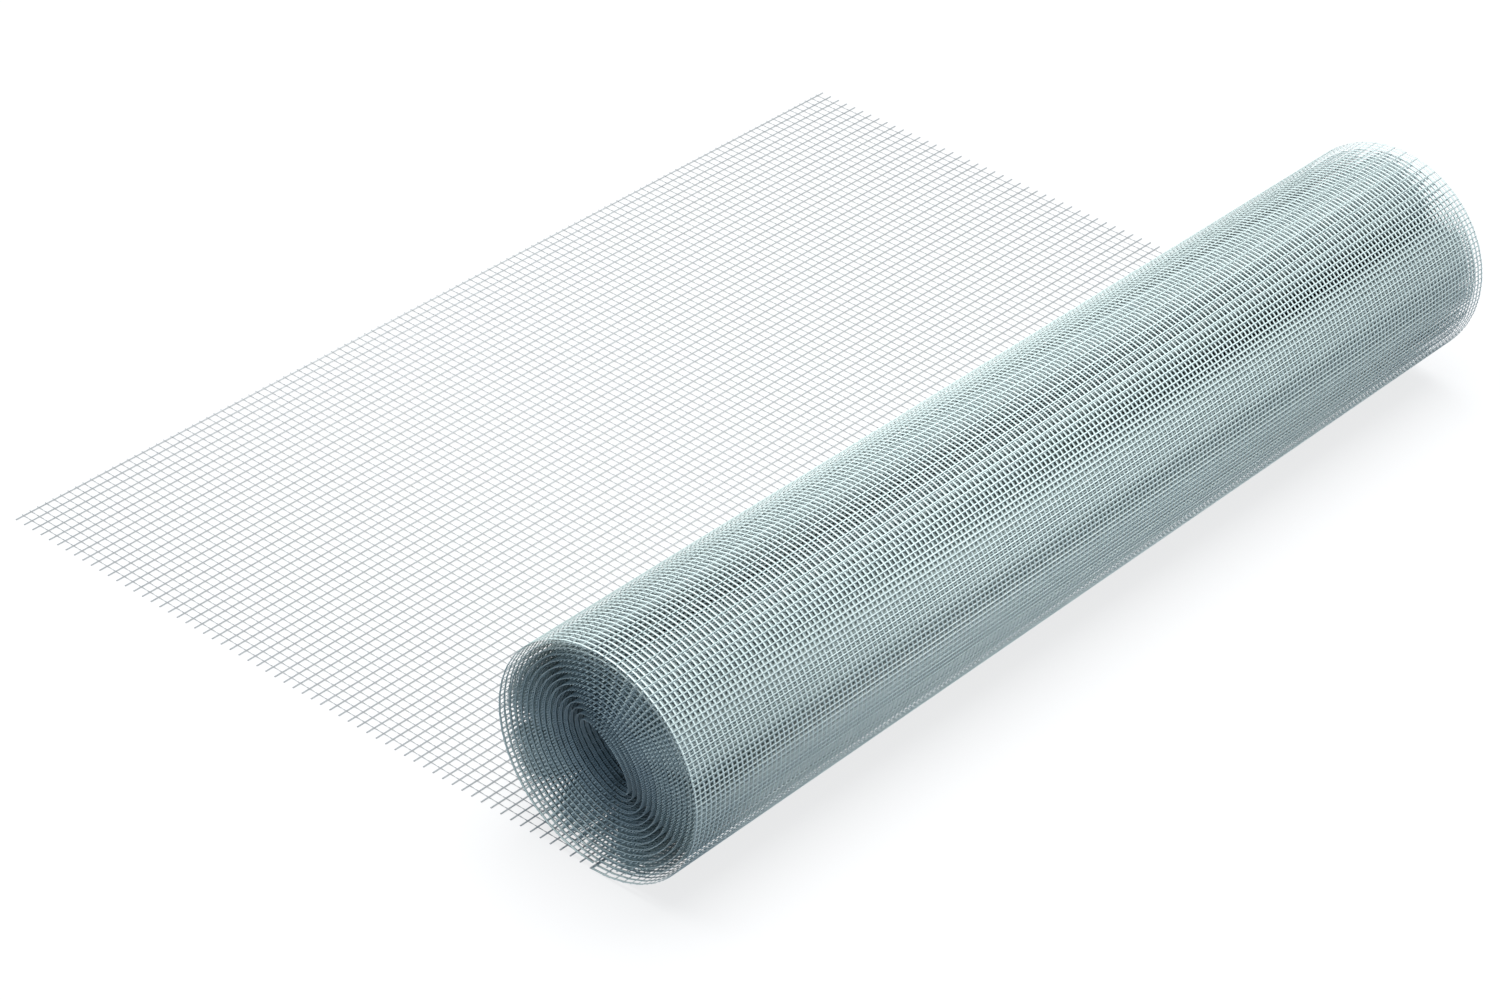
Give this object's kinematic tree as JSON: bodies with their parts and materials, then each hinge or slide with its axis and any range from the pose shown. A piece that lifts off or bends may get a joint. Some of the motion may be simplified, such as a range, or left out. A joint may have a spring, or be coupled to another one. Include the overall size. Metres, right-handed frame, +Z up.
{
  "type": "roll of fiberglass mesh",
  "caption": "Roll of open, coated fiberglass mesh lying on its side, with the free end of the web run out flat over the floor.",
  "frame": {"origin": "on the floor, under the middle of the object's box", "axes": "+X along the roll from the end near the viewer to the far one, +Y from the roll towards the free edge of the web, +Z up"},
  "size_m": [1, 0.7302, 0.1963],
  "materials": {
    "coated_glass_mesh": "open mesh of glass-fibre yarns with a satin alkali-resistant coating, pale mint grey where it is wound and grey-white where it lies flat"
  },
  "bodies": {
    "root": {"mesh_web": "coated_glass_mesh"}
  },
  "joints": []
}
